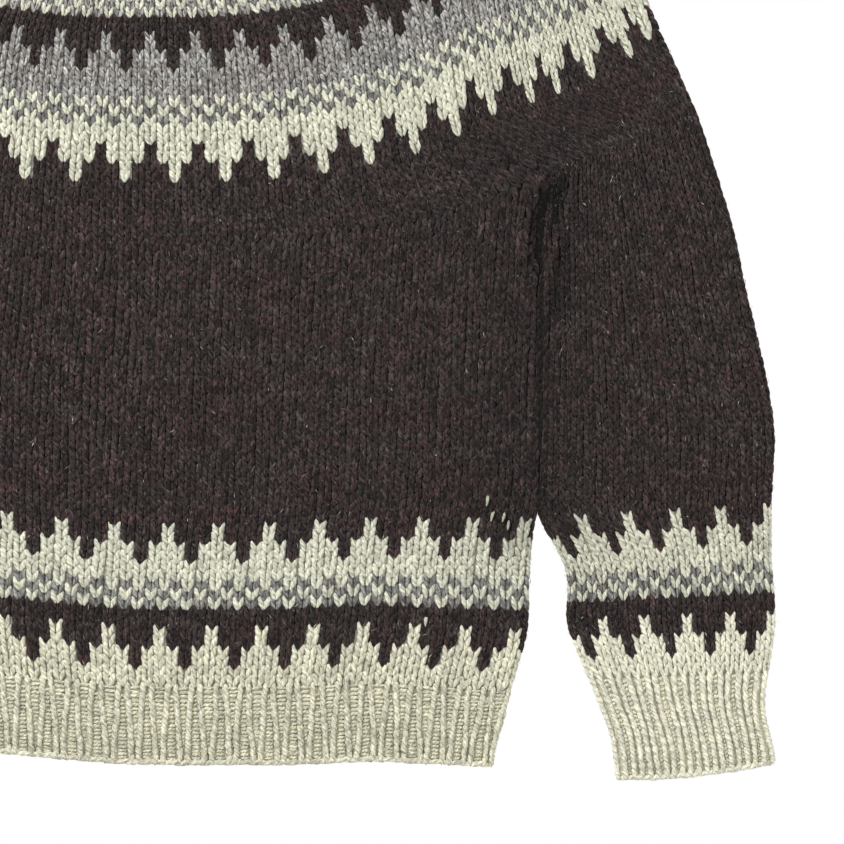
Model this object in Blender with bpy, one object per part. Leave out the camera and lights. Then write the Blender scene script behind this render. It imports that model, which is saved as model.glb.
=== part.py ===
# A round-yoke pullover in bulky wool, laid flat on its back with the sleeves beside the body.
# Lengths are in metres: X runs to the wearer's left, Y from hem to neck, Z up from the surface.
# Every piece is a flattened tube of knit, made of knitted rounds ("courses") that lie flat.
import math
from collections import namedtuple

import bpy
import numpy as np

# Driving sizes
HEM_Y = -0.2972  # puts the middle of the whole length on the origin
WALL = 0.004  # one layer of stranded bulky wool
LAYER_GAP = 0.0015  # air between a tube's front and back
FLAT = 2 * WALL + LAYER_GAP
FOLD = 0.005  # how far in from its edge a tube's front starts to roll over
SEAM = 0.0003  # gap between two pieces where they are knitted together
PINCH_MARGIN = 0.0004  # least half height of the room inside a fold that is pressed flat
RIB_RAISE = 0.0012
RIB_ROUNDNESS = 0.6  # below 1, a rib is broad on top with narrow grooves
RIBS = {"hem": 31, "cuff": 10, "neck": 17}  # ribs that show on the front

# Points once round a tube
POINTS_PER_RIB = 4
FOLD_POINTS = 5
BODY_FRONT_POINTS = 33
SLEEVE_FRONT_POINTS = 13
WIDE_BACK_POINTS = 25
SLEEVE_BACK_POINTS = 11
SHARP_ANGLE = 50  # degrees; flatter edges are shaded smooth

# Where the body's round meets the sleeve's, as shares of the round on which the yoke starts
ARMPIT_SHARE = 0.735
ARMPIT_RISE = 0.545
# Inside the armpit the yoke's rounds swell upwards, most at this share of the round
SWELL_SHARE = 0.67
SWELL_REACH = 0.07

# Places are across from the middle and up from the hem line.
Body = namedtuple("Body", "up_middle up_edge half_width fold pinch bend")
Sleeve = namedtuple("Sleeve", "inner_x inner_up outer_x outer_up inner_fold pinch")
Round = namedtuple("Round", "edge_x edge_up up_front up_back bend kink slant")
Ridge = namedtuple("Ridge", "x0 up0 x1 up1 height reach")

HEM_ROWS = (
    Body(0.0005, 0.0020, 0.2010, FOLD, 0.0047, 2.0),
    Body(0.0220, 0.0215, 0.2065, FOLD, 0.0047, 2.0),
    Body(0.0460, 0.0430, 0.2120, FOLD, 0.0047, 2.0),
)
BODY_ROWS = (
    Body(0.0460, 0.0430, 0.2120, FOLD, 0.0047, 2.0),
    Body(0.0620, 0.0600, 0.2170, FOLD, 0.0047, 2.1),
    Body(0.0800, 0.0780, 0.2215, FOLD, 0.0047, 2.2),
    Body(0.1075, 0.1090, 0.2235, FOLD, 0.0047, 2.3),
    Body(0.1400, 0.1430, 0.2270, FOLD, 0.0047, 2.4),
    Body(0.1720, 0.1830, 0.2293, FOLD, 0.0047, 2.5),
    Body(0.2040, 0.2230, 0.2302, FOLD, 0.0047, 2.5),
    Body(0.2380, 0.2640, 0.2305, 0.0065, 0.0044, 2.6),
    Body(0.2660, 0.2980, 0.2318, 0.0120, 0.0032, 2.7),
    Body(0.2880, 0.3250, 0.2336, 0.0140, 0.0030, 2.7),
    Body(0.3050, 0.3470, 0.2360, 0.0090, 0.0040, 2.7),
)
CUFF_ROWS = (
    Sleeve(0.2715, -0.0080, 0.3665, 0.0015, FOLD, 0.0047),
    Sleeve(0.2710, 0.0060, 0.3655, 0.0120, FOLD, 0.0047),
    Sleeve(0.2700, 0.0220, 0.3625, 0.0250, FOLD, 0.0047),
    Sleeve(0.2650, 0.0360, 0.3606, 0.0390, FOLD, 0.0047),
    Sleeve(0.2575, 0.0500, 0.3628, 0.0540, FOLD, 0.0047),
)
SLEEVE_ROWS = (
    Sleeve(0.2575, 0.0500, 0.3628, 0.0540, FOLD, 0.0047),
    Sleeve(0.2500, 0.0680, 0.3660, 0.0720, FOLD, 0.0047),
    Sleeve(0.2445, 0.0850, 0.3675, 0.0890, FOLD, 0.0047),
    Sleeve(0.2460, 0.1100, 0.3645, 0.1200, FOLD, 0.0047),
    Sleeve(0.2310, 0.1440, 0.3650, 0.1520, FOLD, 0.0047),
    Sleeve(0.2302, 0.1780, 0.3668, 0.1880, FOLD, 0.0047),
    Sleeve(0.2310, 0.2230, 0.3603, 0.2360, FOLD, 0.0047),
    Sleeve(0.2311, 0.2640, 0.3495, 0.2800, 0.0065, 0.0044),
    Sleeve(0.2324, 0.2980, 0.3415, 0.3180, 0.0120, 0.0032),
    Sleeve(0.2342, 0.3250, 0.3305, 0.3530, 0.0130, 0.0030),
    Sleeve(0.2366, 0.3470, 0.3210, 0.3820, 0.0080, 0.0040),
)
YOKE_ROWS = (
    Round(0.3210, 0.3820, 0.3050, 0.3050, 2.7, 0.00, 1.0),
    Round(0.3050, 0.4210, 0.3415, 0.3440, 2.7, 0.07, 1.1),
    Round(0.2885, 0.4550, 0.3744, 0.3790, 2.4, 0.07, 1.1),
    Round(0.2770, 0.4850, 0.4010, 0.4080, 2.6, 0.04, 1.2),
    Round(0.2620, 0.5120, 0.4280, 0.4370, 2.7, 0.02, 1.3),
    Round(0.2380, 0.5350, 0.4520, 0.4630, 2.6, 0.00, 1.7),
    Round(0.2040, 0.5540, 0.4820, 0.4970, 2.4, 0.00, 2.3),
    Round(0.1630, 0.5690, 0.5120, 0.5310, 2.3, 0.00, 2.6),
    Round(0.1240, 0.5800, 0.5350, 0.5580, 2.2, 0.00, 1.8),
)
NECK_ROWS = (
    Round(0.1240, 0.5800, 0.5350, 0.5580, 2.2, 0.00, 1.8),
    Round(0.1175, 0.5920, 0.5490, 0.5730, 2.2, 0.00, 1.3),
    Round(0.1150, 0.6030, 0.5630, 0.5880, 2.2, 0.00, 1.1),
)
CUFF_BULGE = 0.003  # how far the cuff's edge bows down in its middle

# Soft ridges and creases round the underarm, on the front layer
RIDGES = (
    Ridge(0.219, 0.250, 0.222, 0.322, 0.0022, 0.007),
    Ridge(0.222, 0.322, 0.243, 0.353, 0.0032, 0.007),
    Ridge(0.250, 0.285, 0.251, 0.345, 0.0018, 0.007),
    Ridge(0.203, 0.372, 0.212, 0.352, -0.0016, 0.006),
)

# How the hem's line waves as the garment lies: across, and up
WAVE = ((-0.230, 0.0050), (-0.130, 0.0080), (-0.085, 0.0070), (-0.055, 0.0040), (-0.020, 0.0008),
        (0.010, 0.0), (0.070, 0.0003), (0.100, 0.0015), (0.130, 0.0030), (0.160, 0.0020), (0.230, 0.0))
WAVE_FADES = (0.140, 0.300)  # the wave is whole below the first height and gone above the second

CREAM = (0.60, 0.56, 0.42)
DARK_BROWN = (0.043, 0.035, 0.033)
LIGHT_GREY = (0.32, 0.30, 0.28)

# One round lying flat: its edges as (across, up), how far its middle hangs below them, how it climbs
# from its middle to its edges, and how each edge rolls over. Where an edge runs slantwise, its fold is
# that many times wider along the round.
Course = namedtuple("Course", "left right front_sag back_sag climb folds pinches waves slant",
                    defaults=(1.0,))


def climb_power(bend):
    return lambda share: share**bend


def climb_yoke(bend, kink):
    """A yoke round curves up to the armpit, then runs straight over the sleeve."""
    def climb(share):
        curve = ARMPIT_RISE * (share / ARMPIT_SHARE) ** bend
        straight = ARMPIT_RISE + (1 - ARMPIT_RISE) * (share - ARMPIT_SHARE) / (1 - ARMPIT_SHARE)
        bump = kink * np.exp(-(((share - SWELL_SHARE) / SWELL_REACH) ** 2))
        return np.where(share < ARMPIT_SHARE, curve, straight) + bump
    return climb


def body_course(row):
    sag = row.up_edge - row.up_middle
    edge = (row.half_width, row.up_edge)
    return Course((-edge[0], edge[1]), edge, sag, sag, climb_power(row.bend),
                  (row.fold, row.fold), (row.pinch, row.pinch), True)


def sleeve_course(row, side, bulge=0.0):
    """side is 1 for the sleeve at +X and -1 for its mirror image."""
    inner = (side * row.inner_x, row.inner_up)
    outer = (side * row.outer_x, row.outer_up)
    course = Course(inner, outer, bulge, bulge, climb_power(2), (row.inner_fold, FOLD),
                    (row.pinch, FLAT / 2), False)
    if side > 0:
        return course
    return course._replace(left=outer, right=inner, folds=course.folds[::-1], pinches=course.pinches[::-1])


def yoke_course(row):
    edge = (row.edge_x, row.edge_up)
    return Course((-edge[0], edge[1]), edge, row.edge_up - row.up_front, row.edge_up - row.up_back,
                  climb_yoke(row.bend, row.kink), (FOLD, FOLD), (FLAT / 2, FLAT / 2), False, row.slant)


def ridge_height(x, up):
    """The underarm's ridges, the same on both sides of the garment."""
    total = np.zeros_like(x)
    for ridge in RIDGES:
        start = np.array((ridge.x0, ridge.up0))
        along = np.array((ridge.x1, ridge.up1)) - start
        off_x, off_up = np.abs(x) - start[0], up - start[1]
        t = np.clip((off_x * along[0] + off_up * along[1]) / (along @ along), 0, 1)
        distance2 = (off_x - t * along[0]) ** 2 + (off_up - t * along[1]) ** 2
        total += ridge.height * np.exp(-distance2 / ridge.reach**2)
    return total


def wave_lift(x, up):
    across, lifts = np.array(WAVE).T
    fade = np.clip((WAVE_FADES[1] - up) / (WAVE_FADES[1] - WAVE_FADES[0]), 0, 1)
    return np.interp(x, across, lifts) * fade


def section(length, folds, pinches, wall, slant, front_points, back_points):
    """Distances in from the left edge and heights, once round: front, right fold, back, left fold."""
    top, bottom = FLAT - wall, wall
    if wall:
        pinches = [min(max(pinch, wall + PINCH_MARGIN), top - PINCH_MARGIN) for pinch in pinches]
    left, right = folds[0] * slant, length - folds[1] * slant
    angles = np.linspace(math.pi / 2, -math.pi / 2, FOLD_POINTS + 2)[1:-1]

    def rolled(pinch, angle):
        height = np.where(angle > 0, top - pinch, pinch - bottom)
        return pinch + height * np.sin(angle)

    across = np.concatenate((
        np.linspace(left, right, front_points),
        right + (folds[1] - wall) * slant * np.cos(angles),
        np.linspace(right, left, back_points),
        left - (folds[0] - wall) * slant * np.cos(angles),
    ))
    heights = np.concatenate((
        np.full(front_points, top),
        rolled(pinches[1], angles),
        np.full(back_points, bottom),
        rolled(pinches[0], angles[::-1]),
    ))
    return across, heights


def ring(course, inner, front_points, back_points, ribs, nudge):
    """The points once round a course, on the tube's outer or inner face."""
    start, end = np.array(course.left), np.array(course.right)
    length = np.linalg.norm(end - start)
    wall = WALL if inner else 0.0
    across, z = section(length, course.folds, course.pinches, wall, course.slant, front_points, back_points)
    t = across / length
    x = start[0] + (end[0] - start[0]) * t
    up = start[1] + (end[1] - start[1]) * t
    short = 1 - course.climb(np.clip(np.abs(2 * t - 1), 0, 1))
    share_front = np.clip((z - WALL) / LAYER_GAP, 0, 1)
    up = up - short * (course.front_sag * share_front + course.back_sag * (1 - share_front))
    if course.waves:
        up = up + wave_lift(x, up)
    raised = np.clip((z / FLAT - 0.5) * 2, 0, 1)
    z = z + ridge_height(x, up) * raised
    if ribs and not inner:
        edge = course.folds[0] * course.slant
        phase = ribs * (across[:front_points] - edge) / (length - 2 * edge)
        z[:front_points] += RIB_RAISE * np.abs(np.sin(math.pi * phase)) ** RIB_ROUNDNESS
    return np.stack((x, up + HEM_Y + nudge, z), axis=1)


def wool(name, colour):
    material = bpy.data.materials.new(name)
    material.use_nodes = True
    shader = material.node_tree.nodes["Principled BSDF"]
    shader.inputs["Base Color"].default_value = (*colour, 1)
    shader.inputs["Roughness"].default_value = 0.92
    shader.inputs["Metallic"].default_value = 0.0
    return material


def tube(name, courses, material, front_points, back_points, ribs=0, seam_below=False, seam_above=False):
    """A knitted tube through its courses, open at both ends, with a wall all round."""
    last = len(courses) - 1
    outer, inner = [], []
    for i, course in enumerate(courses):
        nudge = SEAM / 2 if i == 0 and seam_below else -SEAM / 2 if i == last and seam_above else 0.0
        outer.append(ring(course, False, front_points, back_points, ribs, nudge))
        inner.append(ring(course, True, front_points, back_points, ribs, nudge))
    size = len(outer[0])
    points = np.concatenate(outer + inner)
    faces = []

    def bridge(lower, upper):
        for k in range(size):
            n = (k + 1) % size
            faces.append((lower + k, lower + n, upper + n, upper + k))

    for i in range(last):
        bridge(i * size, (i + 1) * size)
        bridge((last + 2 + i) * size, (last + 1 + i) * size)
    # The open ends, cut into triangles the same way, so that two ends knitted together match.
    low_out, low_in = 0, (last + 1) * size
    high_out, high_in = last * size, (2 * last + 1) * size
    for k in range(size):
        n = (k + 1) % size
        faces.extend(((low_in + k, low_in + n, low_out + k), (low_in + n, low_out + n, low_out + k)))
        faces.extend(((high_out + k, high_out + n, high_in + n), (high_out + k, high_in + n, high_in + k)))

    mesh = bpy.data.meshes.new(name)
    mesh.from_pydata(points.tolist(), [], faces)
    mesh.materials.append(material)
    mesh.shade_smooth()
    mesh.set_sharp_from_angle(angle=math.radians(SHARP_ANGLE))
    piece = bpy.data.objects.new(name, mesh)
    bpy.context.scene.collection.objects.link(piece)
    return piece


def rib_points(ribs):
    return POINTS_PER_RIB * ribs + 1


def make_body():
    tube("hem_rib", [body_course(row) for row in HEM_ROWS], wool("hem wool", CREAM),
         rib_points(RIBS["hem"]), WIDE_BACK_POINTS, ribs=RIBS["hem"], seam_above=True)
    tube("body", [body_course(row) for row in BODY_ROWS], wool("body wool", DARK_BROWN),
         BODY_FRONT_POINTS, WIDE_BACK_POINTS, seam_below=True, seam_above=True)


def make_sleeve(name, side):
    bulges = np.linspace(CUFF_BULGE, 0, len(CUFF_ROWS))
    cuff = [sleeve_course(row, side, bulge) for row, bulge in zip(CUFF_ROWS, bulges)]
    tube("cuff_" + name, cuff, wool("cuff wool", CREAM), rib_points(RIBS["cuff"]), SLEEVE_BACK_POINTS,
         ribs=RIBS["cuff"], seam_above=True)
    tube("sleeve_" + name, [sleeve_course(row, side) for row in SLEEVE_ROWS], wool("sleeve wool", DARK_BROWN),
         SLEEVE_FRONT_POINTS, SLEEVE_BACK_POINTS, seam_below=True, seam_above=True)


def make_yoke():
    tube("yoke", [yoke_course(row) for row in YOKE_ROWS], wool("yoke wool", LIGHT_GREY),
         rib_points(RIBS["neck"]), WIDE_BACK_POINTS, seam_below=True, seam_above=True)
    tube("neckband", [yoke_course(row) for row in NECK_ROWS], wool("neckband wool", CREAM),
         rib_points(RIBS["neck"]), WIDE_BACK_POINTS, ribs=RIBS["neck"], seam_below=True)


for old in list(bpy.data.objects):
    bpy.data.objects.remove(old)
make_body()
make_sleeve("left", 1)
make_sleeve("right", -1)
make_yoke()
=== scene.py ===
import math
import bpy
import numpy as np
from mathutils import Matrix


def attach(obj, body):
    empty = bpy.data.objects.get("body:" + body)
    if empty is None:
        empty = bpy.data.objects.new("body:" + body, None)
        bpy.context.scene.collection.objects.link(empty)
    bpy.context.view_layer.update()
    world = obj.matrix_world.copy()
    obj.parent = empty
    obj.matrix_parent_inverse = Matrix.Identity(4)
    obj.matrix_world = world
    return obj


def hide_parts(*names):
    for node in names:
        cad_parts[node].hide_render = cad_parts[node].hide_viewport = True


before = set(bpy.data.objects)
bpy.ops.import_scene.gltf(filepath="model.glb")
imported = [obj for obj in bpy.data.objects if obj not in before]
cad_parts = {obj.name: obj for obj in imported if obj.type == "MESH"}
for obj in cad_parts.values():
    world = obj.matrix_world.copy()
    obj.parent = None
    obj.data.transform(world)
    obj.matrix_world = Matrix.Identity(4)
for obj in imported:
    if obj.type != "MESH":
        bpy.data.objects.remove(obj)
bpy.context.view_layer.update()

# Round-yoke jumper in bulky wool, lying flat. Every knit stitch is two legs of yarn, set by Geometry Nodes
# on points worked out from the garment's courses, over a thin shell on the cloth's form.
# The courses, charts and shapes below are in millimetres; onTube gives metres.
mm = 0.001
hemY = -297.2  # where the hem's line lies, so that the garment's middle is on the origin

cloth = {
    "wall": 4.0,
    "layerGap": 1.5,
    "fold": 5.0,
    "pinchMargin": 0.4,  # the fold's sharpest line keeps this far from either face
    "lap": 0.6,  # rows by which body and sleeves run on under the yoke
    "shellSunk": 2.4,  # the shell lies this far below the stitches' crowns
    "ribShellSunk": 2.3,
    "shellPaintedShade": 0.75,  # painted shade: it is darker than the yarn over it, as the gaps between the stitches lie in shade
    # the same painted shade for the ribs' shell, fainter
    "ribShellPaintedShade": 0.95,
    "yarnSunk": 1.6,
    "yarnWidth": 3.7,
    "yarnDepth": 3.1,
    "gauge": 7.3,  # width of a stitch where the yarn has its full width
    "undulation": 0.35,
    "press": 3.2,  # how far body and sleeve reach into each other's fold
    "pressFrom": 137,  # they do so from this height above the hem,
    "pressWithin": 13,  # fully after this much more
    "wander": 0.06,  # how far a column of stitches strays, in stitches
    "uneven": 0.04,  # how far the end of a leg strays, in stitches
    "probe": 0.3,  # the step, in stitches or rows, over which slopes are measured
    "widths": (0.68, 1.05),  # least and most of the yarn's full width
    "unevenness": 0.13,  # of the yarn's width and depth
    "toneSpread": (0.03, 0.14),  # how much legs differ in tone, plain wool and what mottling adds
    "tones": (0.6, 1.5),
    "lightest": 1.4,  # limits of the light that shades leave
    "darkest": 0.15,
}
flatHeight = 2 * cloth["wall"] + cloth["layerGap"]
randomness = np.random.default_rng(17)


def say(words):
    print("jumper:", words)


def linearFromHex(text):
    values = [int(text[i:i + 2], 16) / 255 for i in (1, 3, 5)]
    return [v / 12.92 if v <= 0.04045 else ((v + 0.055) / 1.055) ** 2.4 for v in values]


def addNode(tree, kind, inputs=None, **settings):
    node = tree.nodes.new(kind)
    for name, value in settings.items():
        setattr(node, name, value)
    for socket, value in (inputs or {}).items():
        if isinstance(value, bpy.types.NodeSocket):
            tree.links.new(value, node.inputs[socket])
        else:
            node.inputs[socket].default_value = value
    return node


def addObject(name, data):
    thing = bpy.data.objects.new(name, data)
    bpy.context.scene.collection.objects.link(thing)
    return thing


yarns = {  # undyed fleeces
    "d": "#372c2a",  # dark brown
    "c": "#e2e1cd",  # cream
    "k": "#f4f1dc",  # the cuffs' cream, lighter than the others
    "h": "#e4e1ca",  # the hem's cream, a little greyer
    "l": "#a3a09b",  # light grey
    "m": "#8a8984",  # mid grey
}
# how much light and dark hairs mix in each
mottling = {"d": 1.0, "c": 0.16, "k": 0.12, "h": 0.2, "l": 0.6, "m": 0.6}
yarnLetters = "".join(yarns)
yarnColours = np.array([linearFromHex(yarns[letter]) + [1] for letter in yarnLetters])
yarnMottling = np.array([mottling[letter] for letter in yarnLetters])

# Colour charts, one string a row from the bottom, one letter a stitch: ground, side, peak, side
bandChart = ["hhhh", "hhhh", "dhhh", "dhhh", "ddhd", "ddhd", "dddd", "dddd", "cmcm", "mcmc", "cmcm",
             "cccc", "cccc", "dccc", "dccc", "ddcd", "ddcd"]
yokeChart = ["dddd"] * 7 + ["ddcd", "ddcd", "dccc", "dccc", "cccc", "cccc", "cmcm", "mcmc", "clcl", "llll",
                            "llll", "llll", "lldl", "lldl", "lddd", "lddd", "dddd", "dddd", "clcl", "lclc",
                            "clcl", "cccc", "cccc"]
sleeveChart = [line.replace("h", "k") for line in bandChart]
upperChart = ["dcc", "dcc", "ddc", "ddc", "ddd", "ddd", "ddd"]
neckChart = ["dd", "ld", "dl", "ld", "dd", "dd", "dd", "dd"]


def chartYarn(chart, stitch, row, firstRow=0):
    codes = np.full(stitch.shape, yarnLetters.index("d"))
    for number, line in enumerate(chart):
        letters = np.array([yarnLetters.index(letter) for letter in line])
        here = row == number + firstRow
        codes[here] = letters[stitch[here] % len(line)]
    return codes


def smoothAt(knots, values, at):
    # a smooth curve through one column of a table, straight on beyond its ends
    steps = np.diff(values) / np.diff(knots)
    slopes = np.concatenate((steps[:1], (steps[1:] + steps[:-1]) / 2, steps[-1:]))
    slopes[1:-1][steps[1:] * steps[:-1] <= 0] = 0
    i = np.clip(np.searchsorted(knots, at, side="right") - 1, 0, len(knots) - 2)
    width = knots[i + 1] - knots[i]
    t = np.clip((at - knots[i]) / width, 0, 1)
    inside = ((2 * t**3 - 3 * t**2 + 1) * values[i] + (t**3 - 2 * t**2 + t) * width * slopes[i]
              + (3 * t**2 - 2 * t**3) * values[i + 1] + (t**3 - t**2) * width * slopes[i + 1])
    return inside + np.minimum(at - knots[0], 0) * slopes[0] + np.maximum(at - knots[-1], 0) * slopes[-1]


def columnsAt(rows, at):
    table = np.array(rows, float)
    return [smoothAt(table[:, 0], table[:, i], at) for i in range(1, table.shape[1])]


# Courses of knitting. Places are across from the middle and up from the hem line.
body = {  # row, up in the middle, up at the edge, half width, fold, pinch, bend
    "rib": [(0, 0.5, -1.5, 202.5, 5, 4.7, 2.0), (5, 22, 21.5, 207, 5, 4.7, 2.0),
            (10, 46, 43, 212, 5, 4.7, 2.0)],
    "rows": [(0, 46, 43, 212, 5, 4.7, 2.0), (3, 62, 60, 217, 5, 4.7, 2.1), (6, 80, 78, 221.5, 5, 4.7, 2.2),
             (11, 107.5, 109, 222.8, 5, 4.7, 2.3), (17, 140, 143, 225.6, 5, 4.7, 2.4),
             (23, 172, 183, 228, 6, 4.4, 2.5), (29, 204, 223, 229, 6, 4.4, 2.5),
             (35, 238, 264, 230.5, 6.5, 4.4, 2.6), (40, 266, 298, 231.8, 12, 3.2, 2.7),
             (44, 288, 325, 233.6, 14, 3.0, 2.7), (47, 305, 347, 236, 9, 4.0, 2.7)],
    "stitches": 124,
    "wave": [(-230, 5), (-130, 8), (-85, 7), (-55, 4), (-20, 0.8), (10, 0), (70, 0.3), (100, 1.5), (130, 3),
             (160, 2), (230, 0)],
    "waveFades": (140, 300),
    "lean": [(0, -9), (80, -8.9), (140, -4.2), (305, 1.3)],  # how far the middle column stands off centre
    "bulge": 0.04,  # how far the columns of the right side bow outwards, as a share of the half width
    "bulgeFades": 80,
    "hairs": 3000,
}
sleeve = {  # row, inner edge across, up, outer edge across, up, inner fold, pinch
    "rib": [(0, 272, -8, 366.5, 1.5, 5, 4.7), (3, 270.5, 6, 365.5, 12, 5, 4.7),
            (6.3, 267.5, 22, 362.5, 25, 5, 4.7), (9.3, 261.5, 36, 360.6, 39, 5, 4.7),
            (12, 255.8, 50, 362.8, 54, 5, 4.7)],
    "rows": [(0, 255.8, 50, 362.8, 54, 5, 4.7), (3, 248.6, 68, 366, 72, 5, 4.7),
             (6, 242.4, 85, 367.5, 89, 5, 4.7), (9, 243.5, 100, 365.7, 107.6, 5, 4.7),
             (12.2, 241.5, 117, 364.6, 126.5, 5, 4.7), (15, 233.8, 132, 364.9, 141.3, 5, 4.7),
             (17, 228.5, 144, 365, 152, 5, 4.7),
             (23.3, 228.8, 178, 366.8, 188, 6, 4.4), (31.7, 230, 223, 360.3, 236, 6, 4.4),
             (39.3, 231.1, 264, 349.5, 280, 6.5, 4.4), (45.8, 232.4, 298, 341.5, 318, 12, 3.2),
             (51.4, 234.2, 325, 330.5, 353, 13, 3.0), (56, 236.6, 347, 321, 382, 8, 4.0)],
    "stitches": 40,
    "bulge": 3,  # how far the cuff's edge bows down
    "chartFrom": 13,  # the chart's first stitch, counted from the sleeve's middle
    "hairs": 1200,
}
yoke = {  # row, edge across, edge up, up in front, up at the back, bend, kink, hook, slant
    "rows": [(0, 321, 382, 305, 305, 2.7, 0, 0, 1.0), (7, 299, 434, 341.5, 344, 2.7, 0.07, 0.15, 1.1),
             (13, 283.5, 468, 374.4, 379, 2.4, 0.07, 0.14, 1.1),
             (18, 272, 494, 401, 408, 2.6, 0.04, 0.1, 1.2), (23, 257, 517, 428, 437, 2.7, 0.02, 0.06, 1.3),
             (28, 236.5, 536, 452, 463, 2.6, 0, 0.02, 1.7),
             (34, 204, 554, 482, 497, 2.4, 0, 0, 2.3), (40, 163, 569, 512, 531, 2.3, 0, 0, 2.6),
             (45, 124, 580, 535, 558, 2.2, 0, 0, 1.8)],
    "rib": [(0, 124, 580, 535, 558, 2.2, 0, 0, 1.8), (3.5, 117.5, 592, 549, 573, 2.2, 0, 0, 1.3),
            (7, 115, 603, 563, 588, 2.2, 0, 0, 1.1)],
    "armpit": (0.735, 0.545),  # share of the width, and of the rise to the edge
    "kink": (0.67, 0.07),  # share of the width where a round is pushed up, and how wide
    "hookFrom": 0.9,  # beyond this share of the width the rounds turn up over the shoulder
    "stitches": (204, 153, 102, 68),
    "narrows": (30, 37, 45),  # the rows where the stitches become fewer
    "upperFrom": 15,  # the front's stitches are two pieces, parted at this row
    "hairs": 2600,
    # by row: share of the stitches from middle to fold, and share of the width
    "spreads": {
        0: [(0, 0), (0.304, 0.367), (0.608, 0.735), (0.8, 0.868), (1, 1)],
        7: [(0, 0), (0.196, 0.244), (0.353, 0.4315), (0.51, 0.602), (0.588, 0.672), (0.667, 0.748),
            (0.745, 0.8), (0.8235, 0.867), (0.902, 0.944), (0.98, 0.976), (1, 1)],
        23: [(0, 0), (0.235, 0.304), (0.47, 0.596), (0.7, 0.815), (1, 1)],
        40: [(0, 0), (0.5, 0.55), (1, 1)],
    },
}
# soft ridges round the underarm: from across, from up, to across, to up, height, reach
ridges = [(222, 255, 218, 300, 1.8, 5), (218, 300, 218, 330, 3.4, 4), (218, 330, 226, 344, 3.2, 5),
          (226, 345, 246, 351, 3.2, 5), (246, 342, 244, 322, 1.8, 3), (244, 322, 233, 292, 2.4, 3),
          (233, 292, 230, 262, 1.6, 3), (243, 300, 238, 268, -2.5, 6), (193, 362, 212, 351, -2.2, 3.5),
          (201, 365, 214, 353, -1.8, 3), (205, 352, 212, 340, 2.0, 5), (228, 150, 229, 300, -2.0, 22)]
# shade that gathers in the folds: the same columns, with the share of the light that is lost
# below nought it is light that the raised edges catch
shades = [(243, 302, 237, 266, 0.4, 6), (229, 262, 228.5, 148, 0.4, 3), (193, 362, 212, 351, 0.35, 3),
          (201, 365, 214, 353, 0.35, 2.5), (222, 150, 224, 330, 0.28, 42), (240, 362, 262, 388, 0.25, 14),
          (217, 300, 218, 332, -0.25, 3), (218, 332, 228, 345, -0.3, 4), (228, 345, 246, 350, -0.3, 4),
          (245, 326, 234, 297, -0.2, 2), (234, 297, 230, 264, -0.25, 2)]
# the hollow that the folds of the underarm leave open: up, then how far across
hollow = {
    "left": [(262, 228), (289, 227), (303, 224.4), (317.5, 223.4), (329, 225), (334.6, 230), (339, 236),
             (343, 243)],
    "right": [(262, 228.2), (289, 230), (303, 233.5), (310, 236), (317, 240), (324, 243), (331, 245),
              (343, 246.5)],
    "leftEdge": 2.0,
    "rightEdge": 5.0,
    "top": 344,
    "floor": 2.8,
    "depth": 0.8,
    "easing": 1.5,  # the height above the floor within which the sinking starts
    "lap": 0.3,  # how far it runs over its own outline, as a share of an edge
    "shade": 0.7,
}


def hollowAt(x, up):
    left, right = (np.interp(up, *np.array(hollow[name], float).T) for name in ("left", "right"))
    inside = np.minimum((np.abs(x) - left) / hollow["leftEdge"], (right - np.abs(x)) / hollow["rightEdge"])
    return np.clip(inside + hollow["lap"], 0, 1) * np.clip((hollow["top"] - up) / hollow["leftEdge"], 0, 1)


def ridgeHeight(x, up, table=ridges):
    total = np.zeros_like(x)
    for x0, up0, x1, up1, height, reach in table:
        alongX, alongUp = x1 - x0, up1 - up0
        offX, offUp = np.abs(x) - x0, up - up0
        t = np.clip((offX * alongX + offUp * alongUp) / (alongX**2 + alongUp**2), 0, 1)
        total += height * np.exp(-((offX - t * alongX) ** 2 + (offUp - t * alongUp) ** 2) / reach**2)
    return total


def softHills(x, up):  # the cloth never lies quite level: broad waves, 57 to 273 mm long
    return (np.sin(x * 0.061 + 1.3) * np.sin(up * 0.047 + 0.4) + 0.7 * np.sin(x * 0.023 - up * 0.031 + 2.0)
            + 0.5 * np.sin(x * 0.11 + up * 0.09))


def pressed(up):
    # where body and sleeve lie against each other, each one's crowns reach into the other's by this much
    return cloth["press"] * np.clip((up - cloth["pressFrom"]) / cloth["pressWithin"], 0, 1)


def bodyCourse(rows):
    def course(row):
        middle, edge, half, fold, pinch, bend = columnsAt(rows, row)
        half = half + pressed(middle)
        return {"left": (-half, edge), "right": (half, edge), "sags": (edge - middle, edge - middle),
                "climb": lambda share: share**bend, "folds": (fold, fold), "pinches": (pinch, pinch),
                "slant": 1.0}
    return course


def sleeveCourse(rows):
    bulge = sleeve["bulge"] if rows is sleeve["rib"] else 0

    def course(row):
        innerX, innerUp, outerX, outerUp, fold, pinch = columnsAt(rows, row)
        innerX = innerX - pressed(innerUp)
        sag = bulge * np.clip(1 - row / rows[-1][0], 0, 1)
        return {"left": (innerX, innerUp), "right": (outerX, outerUp), "sags": (sag, sag),
                "climb": lambda share: share**2, "folds": (fold, cloth["fold"]),
                "pinches": (pinch, flatHeight / 2), "slant": 1.0}
    return course


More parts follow.
